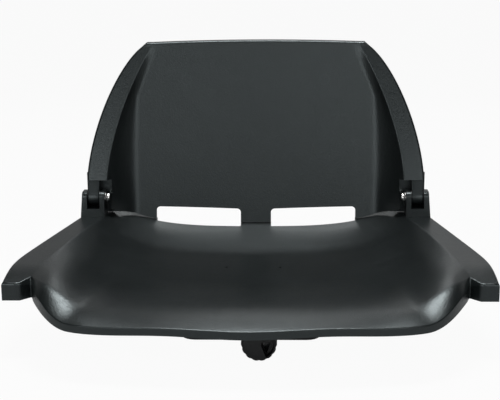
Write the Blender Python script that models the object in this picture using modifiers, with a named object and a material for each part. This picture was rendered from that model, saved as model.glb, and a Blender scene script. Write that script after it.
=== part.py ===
"""Folding boat seat: a moulded bucket pan with a fold-down back, on a swivel with a tension knob.

Metres, +Z up. The seat faces -Y. The origin lies on the swivel's axis, on the underside of its base.
"""

import math

import bmesh
import bpy
from mathutils import Matrix, Vector

# Fits
TOUCH = 0.0003  # between faces that bear on each other
HOLE_EASE = 0.0005  # round a bolt that only passes through

# Swivel
BOLT_SPACING = 0.127  # side of the square bolt pattern, above and below
BASE_MARGIN = 0.0135  # bolt's centre to the plates' edges
BASE_CORNER = 0.016
PLATE_GAUGE = 0.003
BASE_HOLE_RADIUS = 0.0042
DRUM_INSET = 0.027  # drum to the plates' edges
DRUM_WALL = 0.005
DRUM_HEIGHT = 0.025
DRUM_FLOOR = 0.001
RING_GAUGE = 0.0044
RING_WIDTH = 0.009
POST_RADIUS = 0.009
POST_HEAD = 0.0016  # post left above its clip
PIVOT_WASHER_RADIUS = 0.017
PIVOT_WASHER_GAUGE = 0.002
CLIP_GAUGE = 0.0014
CLIP_WIDTH = 0.0045
CLIP_OPENING = 0.008
GROOVE_DEPTH = 0.0015

# Tension knob, its screw and the brake
SCREW_X = 0.011  # the knob stands a little to the right
SCREW_Z = 0.0213
STUD_RADIUS = 0.004
LUG_WIDTH = 0.034
LUG_BELOW_SCREW = 0.010
LUG_NUT_RADIUS = 0.0075
LUG_NUT_GAUGE = 0.0065
SHOE_WIDTH = 0.024
SHOE_DEPTH = 0.010
SHOE_BELOW_SCREW = 0.008
SHOE_LIFT = 0.0003  # left by the released shoe
SHOE_SOCKET = 0.004
KNOB_RADIUS = 0.0187
KNOB_LENGTH = 0.024
KNOB_AHEAD = 0.051  # plates' front edge to the knob's rear face
KNOB_WALL = 0.0025  # left between the stud's bore and the pocket
KNOB_HUB_RADIUS = 0.011
KNOB_HUB_LENGTH = 0.005
KNOB_EDGE = 0.0016
KNOB_FLUTES = 14
FLUTE_RADIUS = 0.003
FLUTE_DEPTH = 0.0008
POCKET_DEPTH = 0.010  # finger pocket in the knob's face
POCKET_RADIUS = 0.0160
POCKET_START = 0.002
POCKET_HALF_ANGLE = 63

# What fixes the pan on the swivel
MOUNT_BOLT_RADIUS = 0.003
MOUNT_HEAD_RADIUS = 0.0058
MOUNT_HEAD = 0.004
MOUNT_WASHER_RADIUS = 0.0078
MOUNT_WASHER_GAUGE = 0.0014
INSERT_RADIUS = 0.0052
INSERT_LENGTH = 0.0078
BOSS_RADIUS = 0.0105
RIB_GAUGE = 0.004
RIB_TAPER = 0.031  # a rib's end beyond its flat foot
RIB_END = 0.010  # height left at a rib's end

# Seat pan in plan
HALF_WIDTH = 0.260
LIP_Y = -0.207
LIP_BOW = 0.016
CORNER_WIDTH = 0.0725  # wing tip's inner edge to the straight part of the lip
CORNER_SHARE = 0.62  # share of the lip's columns that run along the front
CORNER_PULL = 0.74
TIP_Y = -0.122
REAR_Y = 0.178
RAIL_REAR_Y = 0.168
RAIL_REAR_INSET = 0.0832  # wing tip's side to the rail's inner edge at the rear
TIP_WIDTH = 0.0285
TIP_NOTCH = 0.012  # how far back the tip's inner corner is cut
TIP_CUT = 0.4  # share of the tip's width that is cut
RAIL_BOW = 0.0065
RAIL_REAR_WIDTH = 0.0304
RAIL_OUT_SPREAD = 0.0648
TIP_ROUND = 0.0025
EDGE = 0.003  # chamfer along the rails and the tips
CREST_INSET = 0.050

# Seat pan in height, above the pad that lies on the swivel
PAN_WALL = 0.004
LIP_LOW = 0.0097
LIP_SKIRT = 0.0075
CREST = 0.0095
LIP_EDGE_OUT = 0.08  # shares of the lip's roll that its edge takes, out and down
LIP_EDGE_DOWN = 0.33
FLOOR = 0.0115
FLOOR_FALL = 0.002
CREST_RUN = 0.140
RAMP_END_Y = 0.168  # the bowl is level from here back
RAMP_RUN = 0.073
RAMP_RISE = 0.0247
RAMP_ROUND = 0.012
RAIL_RISE = 0.0572
RAIL_FALL = 0.0095
NOSE_LENGTH = 0.050
NOSE_DROP = 0.0065
TIP_LOW = 0.0226
RAIL_SKIRT_LOW = 0.030
BOWL_POWER = 3.0
REAR_POWER = 3.8
LIP_BLEND = 4.0
LIP_TURN = 0.70  # share of the lip's columns where it starts to climb to the wing tip
LIP_CLIMB = 0.24
LIP_ARCH = 0.0026
DRAIN_RADIUS = 0.002
DRAIN_X = 0.032
DRAIN_Y = 0.042

# Hinge
PIN_Y = 0.131
PIN_RISE = 0.079  # above the pad
EAR_INSET = 0.0123  # rail's inner edge to the inner ear
EAR_GAUGE = 0.006
EAR_GAP = 0.016
EAR_DEPTH = 0.026
EAR_TOP = 0.0085
EAR_FLARE = 0.004
EAR_ROUND = 0.007
EAR_ROOT = 0.043  # pin down to the foot of the hinge block, inside the rail
SLOT_BELOW_PIN = 0.0125
BARREL_RADIUS = 0.0045
BARREL_HEAD_RADIUS = 0.0078
BARREL_HEAD = 0.0016
BARREL_BORE = 0.014
HINGE_BOLT_RADIUS = 0.0025
HINGE_BOLT_LENGTH = 0.013
HINGE_HEAD_RADIUS = 0.0053
HINGE_HEAD = 0.004
HINGE_WASHER_RADIUS = 0.0066
HINGE_WASHER_GAUGE = 0.0009
BUSH_WALL = 0.0014
BUSH_FLANGE_RADIUS = 0.0084
BUSH_FLANGE = 0.0006
TONGUE_RADIUS = 0.0096
TONGUE_TOP_RADIUS = 0.009
TONGUE_LENGTH = 0.034

# Back
BACK_WALL = 0.004
BACK_TOP = 0.267  # above the pad
BACK_TOP_ARCH = 0.002
BACK_Y = 0.165
BACK_LEAN = math.radians(8.0)
BACK_ARC = 0.010
WING_WIDTH = 0.0353  # side wall of the back's bowl
WING_LEAST = 0.012
WING_POWER = 1.8
CREASE_GAP = 0.0027  # crease to the inner ear
CREASE_SWEEP = 0.0543  # inward to the top
CREASE_POWER = 1.7
FLANGE_WIDTH = 0.0228
FLANGE_TOP_WIDTH = 0.004
FLANGE_POWER = 4.5
FLANGE_AHEAD = 0.0085
FLANGE_ABOVE_PIN = 0.0216
BACK_SKIRT = 0.016
BACK_EDGE = 0.003
STOP_GAP = 0.0010
CORNER_GAP = 0.0137
CORNER_GAP_POWER = 10
WING_TRIM = 0.0075  # from the inner ear to the back's side below its flange
SLOT_IN = 0.0196
SLOT_SIDE = 0.0224  # slot to the side wall
SLOT_HEIGHT = 0.0185
SLOT_CORNER = 0.005
LEDGE_Y = 0.1605  # front of the notches in the pan's rear edge
WEB_TOP = 0.029  # above the pin

# Fineness
SMALL_SIDES = 20
LARGE_SIDES = 40
PAN_COLUMNS = 12
PAN_ROWS = 20
LIP_TOP = 0.8  # share of the rows over the lip's roll that lie before its edge
BACK_COLUMNS = 12
BACK_ROWS = 16
MERGE = 0.00001
PAST = 0.02  # how far a cutter runs past what it cuts

# Levels and places that follow from the sizes above
BASE_SIDE = BOLT_SPACING + 2 * BASE_MARGIN
DRUM_RADIUS = BASE_SIDE / 2 - DRUM_INSET
KNOB_REACH = BASE_SIDE / 2 + KNOB_AHEAD
KNOB_BORE = KNOB_LENGTH - POCKET_DEPTH - KNOB_WALL
RIB_FLAT = BASE_SIDE / 2
RIB_REACH = RIB_FLAT + RIB_TAPER
RAIL_IN_REAR = HALF_WIDTH - RAIL_REAR_INSET
RAIL_IN_TIP = HALF_WIDTH - TIP_WIDTH
RAIL_OUT_REAR = RAIL_IN_REAR + RAIL_REAR_WIDTH
CORNER_X = RAIL_IN_TIP - CORNER_WIDTH
EAR_IN = RAIL_IN_REAR + EAR_INSET
CREASE_LOW = EAR_IN - CREASE_GAP
CREASE_TOP = CREASE_LOW - CREASE_SWEEP
WING_X = CREASE_LOW - WING_WIDTH
SLOT_OUT = WING_X - SLOT_SIDE
DRUM_TOP = PLATE_GAUGE + DRUM_HEIGHT
PLATE_LOW = DRUM_TOP + RING_GAUGE + 2 * TOUCH
PLATE_TOP = PLATE_LOW + PLATE_GAUGE
PAD_Z = PLATE_TOP + TOUCH
PIN_Z = PAD_Z + PIN_RISE
RAIL_Z = PAD_Z + RAIL_RISE
FLOOR_Z = PAD_Z + FLOOR
CREST_Z = PAD_Z + LIP_LOW + LIP_SKIRT + CREST
CREST_Y = LIP_Y + CREST_INSET
BACK_TOP_Z = PAD_Z + BACK_TOP
FLANGE_Z = PIN_Z + FLANGE_ABOVE_PIN
SLOT_X = EAR_IN + EAR_GAUGE
EAR_OUT = SLOT_X + EAR_GAP + EAR_GAUGE
TONGUE_WIDTH = EAR_GAP - 2 * BUSH_FLANGE - 4 * TOUCH
TONGUE_X = SLOT_X + EAR_GAP / 2
BUSH_RADIUS = BARREL_RADIUS + TOUCH + BUSH_WALL
SHOE_FACE_Y = -DRUM_RADIUS - TOUCH - SHOE_LIFT
SHOE_FRONT_Y = SHOE_FACE_Y - SHOE_DEPTH
LUG_Y = -BASE_SIDE / 2


def lerp(a, b, t):
    return a + (b - a) * t


def ease(t):
    t = min(max(t, 0.0), 1.0)
    return t * t * (3 - 2 * t)


def clear_scene():
    for obj in list(bpy.data.objects):
        bpy.data.objects.remove(obj, do_unlink=True)


def collection(name, hidden=False):
    made = bpy.data.collections.new(name)
    bpy.context.scene.collection.children.link(made)
    made.hide_render = hidden
    return made


def finish(name, colour, roughness, metallic=0.0):
    made = bpy.data.materials.new(name)
    made.use_nodes = True
    shader = made.node_tree.nodes["Principled BSDF"]
    shader.inputs["Base Color"].default_value = (*colour, 1.0)
    shader.inputs["Roughness"].default_value = roughness
    shader.inputs["Metallic"].default_value = metallic
    return made


clear_scene()
SEAT = collection("folding_boat_seat")
CUTTERS = collection("cutters", hidden=True)
PLASTIC = finish("moulded_plastic", (0.008, 0.010, 0.0105), 0.4)
KNOB_PLASTIC = finish("knob_plastic", (0.010, 0.011, 0.012), 0.45)
NYLON = finish("nylon", (0.020, 0.020, 0.021), 0.5)
ZINC = finish("zinc_steel", (0.55, 0.56, 0.58), 0.35, 1.0)
STAINLESS = finish("stainless", (0.72, 0.72, 0.71), 0.2, 1.0)
PAINTED = finish("painted_steel", (0.030, 0.031, 0.033), 0.55, 0.2)
BRASS = finish("brass", (0.62, 0.45, 0.18), 0.35, 1.0)


def axis_empty(name, place):
    """An empty on a joint's axis, which the pieces that move there hang on."""
    made = bpy.data.objects.new(name, None)
    made.empty_display_size = KNOB_LENGTH
    made.location = place
    SEAT.objects.link(made)
    return made


def node(name, mesh, surface, hub):
    """A sub-part whose mesh is in world coordinates, hung on the empty of its joint."""
    made = bpy.data.objects.new(name, mesh)
    mesh.materials.append(surface)
    SEAT.objects.link(made)
    made.parent = hub
    made.location = -hub.location
    return made


def helper(name, mesh):
    """A shape that only joins or cuts another."""
    made = bpy.data.objects.new(name, mesh)
    made.hide_render = True
    made.display_type = "WIRE"
    return made


def boolean(piece, operation, helpers):
    """One Boolean for all the helpers, which keeps the result free of slivers."""
    group = bpy.data.collections.new(f"{piece.name}_{operation.lower()}")
    CUTTERS.children.link(group)
    for item in helpers:
        group.objects.link(item)
    modifier = piece.modifiers.new(group.name, "BOOLEAN")
    modifier.operation = operation
    modifier.operand_type = "COLLECTION"
    modifier.collection = group
    modifier.solver = "EXACT"


def cut(piece, *helpers):
    boolean(piece, "DIFFERENCE", helpers)


def join(piece, *helpers):
    boolean(piece, "UNION", helpers)


def mesh_of(name, bm, smooth=False):
    bmesh.ops.recalc_face_normals(bm, faces=bm.faces)
    mesh = bpy.data.meshes.new(name)
    bm.to_mesh(mesh)
    bm.free()
    if smooth:
        mesh.shade_smooth()
        mesh.set_sharp_from_angle(angle=math.radians(35))
    return mesh


def block(name, low, high):
    low, high = Vector(low), Vector(high)
    bm = bmesh.new()
    bmesh.ops.create_cube(bm, size=1.0)
    bmesh.ops.scale(bm, vec=high - low, verts=bm.verts)
    bmesh.ops.translate(bm, vec=(low + high) / 2, verts=bm.verts)
    return mesh_of(name, bm)


def rod(name, radius, start, end, sides=SMALL_SIDES):
    """A cylinder from start to end; six sides make a hexagon that measures 2 x radius over its corners."""
    start, end = Vector(start), Vector(end)
    along = end - start
    turn = along.to_track_quat("Z", "X").to_matrix().to_4x4()
    bm = bmesh.new()
    bmesh.ops.create_cone(
        bm, cap_ends=True, segments=sides, radius1=radius, radius2=radius, depth=along.length,
        matrix=Matrix.Translation((start + end) / 2) @ turn,
    )
    return mesh_of(name, bm, smooth=sides > 6)


def hull(name, points):
    bm = bmesh.new()
    for point in points:
        bm.verts.new(point)
    found = bmesh.ops.convex_hull(bm, input=bm.verts)
    inside = [item for item in found["geom_interior"] if isinstance(item, bmesh.types.BMVert)]
    bmesh.ops.delete(bm, geom=inside, context="VERTS")
    return mesh_of(name, bm)


def arc(centre, radius, first, last, steps):
    """Points (y, z) on an arc, angles in degrees from +Y towards +Z."""
    angles = [math.radians(lerp(first, last, i / steps)) for i in range(steps + 1)]
    return [(centre[0] + radius * math.cos(a), centre[1] + radius * math.sin(a)) for a in angles]


def prism(name, outline, low_x, high_x):
    """A convex outline in (y, z), drawn out along X."""
    return hull(name, [(x, y, z) for x in (low_x, high_x) for y, z in outline])


def turned(name, profile, surface, hub, place, direction, sides=SMALL_SIDES):
    """A turned piece: profile points (radius, height) run down the outer side, then up the bore, if any."""
    bm = bmesh.new()
    points = [bm.verts.new((radius, 0, height)) for radius, height in profile]
    for a, b in zip(points, points[1:]):
        bm.edges.new((a, b))
    if profile[0][0] > 0:
        bm.edges.new((points[-1], points[0]))
    mesh = bpy.data.meshes.new(name)
    bm.to_mesh(mesh)
    bm.free()
    mesh.materials.append(surface)
    made = bpy.data.objects.new(name, mesh) if hub else helper(name, mesh)
    screw = made.modifiers.new("turned", "SCREW")
    screw.steps = sides
    screw.render_steps = sides
    screw.use_merge_vertices = True
    screw.merge_threshold = MERGE
    screw.use_smooth_shade = True
    made.location = place
    made.rotation_euler = Vector(direction).to_track_quat("Z", "X").to_euler()
    if hub:
        SEAT.objects.link(made)
        made.parent = hub
        made.location -= hub.location
    return made


def ring_profile(inner, outer, low, high):
    return [(outer, high), (outer, low), (inner, low), (inner, high)]


def sheet(name, columns, rows, left_out, point):
    """An open sheet: a grid with its corners at point(column, row), less the cells that left_out names."""
    across, along = len(columns) - 1, len(rows) - 1
    bm = bmesh.new()
    bmesh.ops.create_grid(bm, x_segments=across, y_segments=along, size=1.0)

    def cell(place):
        return (place.x + 1) / 2 * across, (place.y + 1) / 2 * along

    dropped = [f for f in bm.faces if left_out(*map(int, cell(f.calc_center_median())))]
    bmesh.ops.delete(bm, geom=dropped, context="FACES")
    for vert in bm.verts:
        column, row = cell(vert.co)
        vert.co = point(columns[round(column)], rows[round(row)])
    bmesh.ops.remove_doubles(bm, verts=bm.verts, dist=MERGE)
    mesh = bpy.data.meshes.new(name)
    bm.to_mesh(mesh)
    bm.free()
    mesh.shade_smooth()
    mesh.set_sharp_from_angle(angle=math.radians(35))
    return mesh


def shell(piece, wall, flip):
    """Mirrors a half sheet and gives it its wall, behind the face that shows."""
    if flip:
        piece.data.flip_normals()
    mirror = piece.modifiers.new("other_half", "MIRROR")
    mirror.merge_threshold = MERGE
    mirror.use_clip = True
    solid = piece.modifiers.new("wall", "SOLIDIFY")
    solid.thickness = wall
    solid.offset = -1
    solid.use_even_offset = True


# The pan's form

def rail_height(y):
    along = (RAIL_REAR_Y - y) / (RAIL_REAR_Y - TIP_Y)
    nose = max(0.0, (TIP_Y + NOSE_LENGTH - y) / NOSE_LENGTH)
    return RAIL_Z - RAIL_FALL * along - NOSE_DROP * nose**2


def rail_y(v):
    return lerp(RAIL_REAR_Y, TIP_Y + EDGE, v)


def rail_point(v, across):
    """A point of the rail's top: v from the rear to the wing tip, across from the inner to the outer edge."""
    inner = lerp(RAIL_IN_REAR, RAIL_IN_TIP, v) + RAIL_BOW * 4 * v * (1 - v)
    straight, side = RAIL_OUT_REAR + RAIL_OUT_SPREAD * v, HALF_WIDTH - EDGE + TIP_ROUND / 2
    outer = (straight + side) / 2 - math.hypot((straight - side) / 2, TIP_ROUND)
    y = rail_y(v) + TIP_NOTCH * v * max(0.0, 1 - across / TIP_CUT)
    return Vector((lerp(inner, outer, across), y, rail_height(y)))


def lip_outline(u):
    """Plan of the lip's outer face, from the middle of the front round the corner to the wing tip."""
    if u <= CORNER_SHARE:
        x = CORNER_X * u / CORNER_SHARE
        return Vector((x, LIP_Y + LIP_BOW * (x / CORNER_X) ** 2))
    t = (u - CORNER_SHARE) / (1 - CORNER_SHARE)
    start = Vector((CORNER_X, LIP_Y + LIP_BOW))
    pull = CORNER_PULL * (RAIL_IN_TIP - CORNER_X)
    bend = start + Vector((pull, pull * 2 * LIP_BOW / CORNER_X))
    end = Vector((RAIL_IN_TIP, TIP_Y + TIP_NOTCH))
    return start * (1 - t) ** 2 + bend * 2 * t * (1 - t) + end * t**2


def lip_crest(u):
    """Plan of the lip's crest, which runs inside the outline and ends at the rail's inner edge."""
    step = 0.001
    tangent = (lip_outline(min(u + step, 1)) - lip_outline(max(u - step, 0))).normalized()
    fade = u**3
    inset = Vector((-tangent.y, tangent.x)) * CREST_INSET * (1 - fade)
    place = lip_outline(u) + inset + Vector((0, EDGE * fade))
    return Vector((0 if u == 0 else place.x, place.y))


def pan_rear(u):
    return Vector((RAIL_IN_REAR * u, REAR_Y - (REAR_Y - RAIL_REAR_Y) * u**2))


def floor_height(y):
    past = min(y, RAMP_END_Y) - (RAMP_END_Y - RAMP_RUN)
    ramp = RAMP_RISE / RAMP_RUN * (past + math.hypot(past, RAMP_ROUND)) / 2
    crest = ease(1 - (y - CREST_Y) / CREST_RUN)
    low = FLOOR_Z + FLOOR_FALL * (REAR_Y - y) / (REAR_Y - CREST_Y)
    return low + ramp + (CREST_Z - FLOOR_Z - FLOOR_FALL) * crest


def lip_climb(u):
    return ease((u - LIP_TURN) / LIP_CLIMB)


def bowl_rise(u, v):
    """Share of the way up from the floor to the rail."""
    bowl = u ** lerp(BOWL_POWER, REAR_POWER, (1 - v) ** 4)
    return lerp(bowl, lip_climb(u), v**LIP_BLEND)


def pan_point(u, v):
    """A point of the bowl: u from the middle to the rail, v from the rear edge to the lip's crest."""
    middle, side = Vector((0, lerp(REAR_Y, CREST_Y, v))), rail_point(v, 0)
    corners = (pan_rear(1) * u * (1 - v) + rail_point(1, 0).xy * u * v
               + Vector((0, REAR_Y)) * (1 - u) * (1 - v) + Vector((0, CREST_Y)) * (1 - u) * v)
    plan = middle * (1 - u) + side.xy * u + pan_rear(u) * (1 - v) + lip_crest(u) * v - corners
    low = floor_height(middle.y)
    return Vector((plan.x, plan.y, lerp(low, side.z, bowl_rise(u, v))))


def pan_height(x, y):
    """Height of the bowl's upper face at a place in plan."""
    u, v = x / RAIL_IN_TIP, (REAR_Y - y) / (REAR_Y - CREST_Y)
    for _ in range(20):
        found = pan_point(min(max(u, 0), 1), min(max(v, 0), 1))
        u += (x - found.x) / RAIL_IN_TIP
        v -= (y - found.y) / (REAR_Y - CREST_Y)
    return pan_point(min(max(u, 0), 1), min(max(v, 0), 1)).z


def lip_arch(u):
    """The lip's edge stands higher left and right of its middle."""
    return LIP_ARCH * (1 - math.cos(2 * math.pi * min(u / CORNER_SHARE, 1))) / 2


def quarter(share):
    """Way out and way down along a rounded edge, each from 0 to 1."""
    angle = share * math.pi / 2
    return math.sin(angle), 1 - math.cos(angle)


def lip_roll(share):
    """Way out and way down over the lip, each from 0 to 1: a bowed top, then a chamfer."""
    along = min(share / LIP_TOP, 1)
    edge = max(share - LIP_TOP, 0) / (1 - LIP_TOP)
    return lerp((1 - LIP_EDGE_OUT) * along, 1, edge), lerp((1 - LIP_EDGE_DOWN) * along**2, 1, edge)


def lip_point(u, row):
    """Over the lip's roll for rows 1 to 2, then down its skirt to row 3."""
    crest, arch = pan_point(u, 1), lip_arch(u)
    side, down = lip_roll(min(row - 1, 1))
    place = crest.xy.lerp(lip_outline(u), side)
    top = crest.z - (CREST - arch) * down
    low = PAD_Z + lerp(LIP_LOW, TIP_LOW, lip_climb(u)) + arch
    return Vector((place.x, place.y, lerp(top, low, max(row - 2, 0))))


def rail_edge_point(v, turn, across):
    """Over the chamfer of the rail's edge at turn 1, then down its skirt to turn 2."""
    place = rail_point(v, across)
    side, down = quarter(min(turn, 1))
    low = PAD_Z + lerp(RAIL_SKIRT_LOW, TIP_LOW, v)
    place.x += EDGE * side if across == 1 else 0
    place.y -= EDGE * side if v == 1 else 0
    place.z = lerp(place.z - EDGE * down, low, max(turn - 1, 0))
    return place


def pan_sheet_point(column, row):
    """A column is a share of the bowl up to 1, then the rail's top, chamfer and skirt; a row likewise."""
    u, v = min(column, 1), min(row, 1)
    turn = max(column - 2, int(row) - 1, 0)
    if column <= 1:
        return pan_point(u, v) if row <= 1 else lip_point(u, row)
    across = min(column - 1, 1)
    if row <= 1:
        return rail_edge_point(v, turn, across)
    share = min(across / TIP_CUT, 1)
    return lip_point(1, row).lerp(rail_edge_point(v, turn, max(across, TIP_CUT)), share)


def seat_pan(hub):
    bowl = [1 - (1 - i / PAN_COLUMNS) ** 1.5 for i in range(PAN_COLUMNS + 1)]
    columns = [*bowl, 1 + TIP_CUT, 2, 3, 4]
    rows = [*(i / PAN_ROWS for i in range(PAN_ROWS + 1)), 1 + LIP_TOP / 2, 1 + LIP_TOP, 2, 3]
    rail = PAN_COLUMNS + 2
    mesh = sheet("seat_pan", columns, rows, lambda c, r: c >= rail and r >= PAN_ROWS, pan_sheet_point)
    pan = node("seat_pan", mesh, PLASTIC, hub)
    shell(pan, PAN_WALL, flip=True)
    half = BOLT_SPACING / 2
    bosses = []
    holes = []
    for place in bolt_places():
        top = pan_height(abs(place.x), place.y) - PAN_WALL / 2
        bosses.append(helper("boss", rod("boss", BOSS_RADIUS, (*place, PAD_Z), (*place, top))))
        hole = rod("insert_hole", INSERT_RADIUS + TOUCH, (*place, PAD_Z - PAST),
                   (*place, PAD_Z + INSERT_LENGTH + 2 * TOUCH))
        holes.append(helper("insert_hole", hole))
    for side in (1, -1):
        holes += hinge_block_cuts(side)
        x = sorted((side * SLOT_IN, side * SLOT_OUT))
        ledge = block("ledge_cut", (x[0], LEDGE_Y, FLOOR_Z), (x[1], REAR_Y + PAST, RAIL_Z + PAST))
        drain = rod("drain", DRAIN_RADIUS, (side * DRAIN_X, DRAIN_Y, FLOOR_Z - PAN_WALL - PAST),
                    (side * DRAIN_X, DRAIN_Y, FLOOR_Z + PAST), 12)
        holes += [helper("ledge_cut", ledge), helper("drain", drain)]
    ribs = [rib(side * half, across) for side in (1, -1) for across in (False, True)]
    join(pan, hinge_block(1), hinge_block(-1), *bosses, *ribs)
    cut(pan, *holes)


def rib(offset, across):
    """A rib through two bosses, under the bowl from its upper face's middle wall down to the pad."""
    steps = 16
    bm = bmesh.new()
    bmesh.ops.create_grid(bm, x_segments=steps, y_segments=1, size=1.0)
    for vert in bm.verts:
        along = vert.co.x * RIB_REACH
        x, y = (along, offset) if across else (offset, along)
        top = pan_height(abs(x), y) - PAN_WALL / 2
        taper = max(0.0, (abs(along) - RIB_FLAT) / (RIB_REACH - RIB_FLAT))
        foot = lerp(PAD_Z, top - RIB_END, taper)
        vert.co = (x, y, top if vert.co.y > 0 else foot)
    made = helper("rib", mesh_of("rib", bm))
    solid = made.modifiers.new("gauge", "SOLIDIFY")
    solid.thickness = RIB_GAUGE
    solid.offset = 0
    return made


def hinge_block(side):
    """The block that stands in the rail's end and carries both ears."""
    front, rear = PIN_Y - EAR_DEPTH / 2, PIN_Y + EAR_DEPTH / 2
    top = PIN_Z + EAR_TOP
    foot = PIN_Z - EAR_ROOT
    outline = arc((rear - EAR_ROUND, top - EAR_ROUND), EAR_ROUND, 0, 90, 4)
    outline += arc((front + EAR_ROUND, top - EAR_ROUND), EAR_ROUND, 90, 180, 4)
    points = [(side * x, y, z) for x in (EAR_IN, EAR_OUT) for y, z in outline]
    points += [(side * x, y, foot) for x in (EAR_IN, EAR_OUT + EAR_FLARE) for y in (front, rear)]
    return helper("hinge_block", hull("hinge_block", points))


def hinge_block_cuts(side):
    """The slot between the ears, the barrel's hole through them and the seat for its head."""
    x = sorted((side * SLOT_X, side * (SLOT_X + EAR_GAP)))
    slot = block("ear_slot", (x[0], PIN_Y - EAR_DEPTH, PIN_Z - SLOT_BELOW_PIN),
                 (x[1], PIN_Y + EAR_DEPTH, PIN_Z + PAST))

    def bore(name, radius, inner):
        return rod(name, radius, (side * inner, PIN_Y, PIN_Z), (side * (EAR_OUT + PAST), PIN_Y, PIN_Z))

    hole = bore("barrel_hole", BARREL_RADIUS + TOUCH, EAR_IN - PAST)
    seat = bore("barrel_seat", BARREL_HEAD_RADIUS + TOUCH, EAR_OUT - BARREL_HEAD - 2 * TOUCH)
    return [helper("ear_slot", slot), helper("barrel_hole", hole), helper("barrel_seat", seat)]


def bolt_places():
    half = BOLT_SPACING / 2
    return [Vector((x, y)) for x in (-half, half) for y in (-half, half)]


# The back's form

def main_depth(x, z):
    """Depth of the back's main face, curved about the sitter."""
    return BACK_Y + math.tan(BACK_LEAN) * (z - FLOOR_Z) - BACK_ARC * (x / WING_X) ** 2


def crease_x(z):
    share = min(max((z - FLANGE_Z) / (BACK_TOP_Z - FLANGE_Z), 0), 1)
    return CREASE_LOW - (CREASE_LOW - CREASE_TOP) * share**CREASE_POWER


def flange_depth(z):
    """Depth of the side flanges' face: ahead of the pin below, level with the main face at the top."""
    low = PIN_Y - FLANGE_AHEAD
    return lerp(low, main_depth(CREASE_TOP, BACK_TOP_Z), (z - PIN_Z) / (BACK_TOP_Z - PIN_Z))


def back_depth(x, z):
    crease = crease_x(z)
    start = min(WING_X, crease - WING_LEAST)
    share = max(0.0, (x - start) / (crease - start))
    forward = max(0.0, main_depth(crease, z) - flange_depth(z))
    return main_depth(x, z) - forward * share**WING_POWER


def back_low(u):
    """Height of the back's lower edge, just above the pan."""
    x, z = CREASE_LOW * u, FLOOR_Z + RAMP_RISE
    for _ in range(8):
        y = back_depth(x, z)
        under = max(pan_height(x, y), pan_height(x, y + BACK_WALL))
        z = under + STOP_GAP + CORNER_GAP * u**CORNER_GAP_POWER
    return z


LOW_AT = {}


def back_point(u, v):
    """A point of the back's face: u from the middle to the crease, v from the lower edge to the top."""
    if u not in LOW_AT:
        LOW_AT[u] = back_low(u)
    z = lerp(LOW_AT[u], BACK_TOP_Z - BACK_TOP_ARCH * u**2, v)
    x = u * crease_x(z)
    return Vector((x, back_depth(x, z), z))


def flange_point(v):
    crease = back_point(1, v)
    share = min(max((crease.z - FLANGE_Z) / (BACK_TOP_Z - BACK_TOP_ARCH - FLANGE_Z), 0), 1)
    width = FLANGE_TOP_WIDTH + (FLANGE_WIDTH - FLANGE_TOP_WIDTH) * math.sqrt(max(0, 1 - share**FLANGE_POWER))
    return crease + Vector((width, 0, 0))


def back_sheet_point(column, row):
    u, v = min(column, 1), min(row, 1)
    turn = max(column - 2, row - 1, 0)
    place = back_point(u, v) if column <= 1 else flange_point(v)
    if turn:
        place.x += BACK_EDGE if column > 2 or (row > 1 and column == 2) else 0
        place.z += BACK_EDGE if v == 1 else 0
        place.y += BACK_EDGE if turn == 1 else BACK_SKIRT
    return place


def back_shell(hub):
    bowl = [1 - (1 - i / BACK_COLUMNS) ** 1.5 for i in range(BACK_COLUMNS + 1)]
    columns = [*bowl, 2, 3, 4]
    rows = [*(1 - (1 - i / BACK_ROWS) ** 1.35 for i in range(BACK_ROWS + 1)), 2, 3]
    mesh = sheet("back_shell", columns, rows, lambda c, r: c > BACK_COLUMNS and r >= BACK_ROWS,
                 back_sheet_point)
    back = node("back_shell", mesh, PLASTIC, hub)
    shell(back, BACK_WALL, flip=False)
    trims = []
    added = []
    cuts = []
    for side in (1, -1):
        x = sorted((side * (EAR_IN - WING_TRIM), side * (EAR_OUT + PAST)))
        trim = block("wing_trim", (x[0], 0, FLOOR_Z), (x[1], REAR_Y + PAST, FLANGE_Z))
        trims.append(helper("wing_trim", trim))
        added += [tongue(side), hinge_web(side)]
        bore = rod("bush_hole", BUSH_RADIUS + TOUCH, (side * EAR_IN, PIN_Y, PIN_Z),
                   (side * (EAR_OUT + PAST), PIN_Y, PIN_Z))
        cuts += [helper("bush_hole", bore), back_slot(side)]
    cut(back, *trims)
    join(back, *added)
    cut(back, *cuts)


def tongue(side):
    """The lug below each flange that turns between the ears."""
    lean = math.atan2(flange_depth(BACK_TOP_Z) - flange_depth(PIN_Z), BACK_TOP_Z - PIN_Z)
    up = Vector((math.sin(lean), math.cos(lean)))
    inward = Vector((math.cos(lean), -math.sin(lean)))
    foot = Vector((flange_depth(PIN_Z), PIN_Z))
    top = foot + up * TONGUE_LENGTH + inward * (BACK_WALL / 2 + TONGUE_TOP_RADIUS)
    outline = arc((PIN_Y, PIN_Z), TONGUE_RADIUS, 0, 345, 23) + arc(top, TONGUE_TOP_RADIUS, 0, 330, 11)
    half = TONGUE_WIDTH / 2
    return helper("tongue", prism("tongue", outline, side * (TONGUE_X - half), side * (TONGUE_X + half)))


def hinge_web(side):
    """A web from the wing out past the tongue, which leans on the hinge block and stops the back there."""
    front = PIN_Y + EAR_DEPTH / 2 + TOUCH
    outer = EAR_OUT - EAR_GAUGE / 2
    points = []
    for z in (rail_height(front) + STOP_GAP, PIN_Z + WEB_TOP):
        inner = WING_X
        while back_depth(inner, z) > front - BACK_WALL / 4:
            inner += 0.0005
        points += [(side * x, y, z) for x in (inner, outer) for y in (front, front + BACK_WALL)]
    return helper("hinge_web", hull("hinge_web", points))


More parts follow.
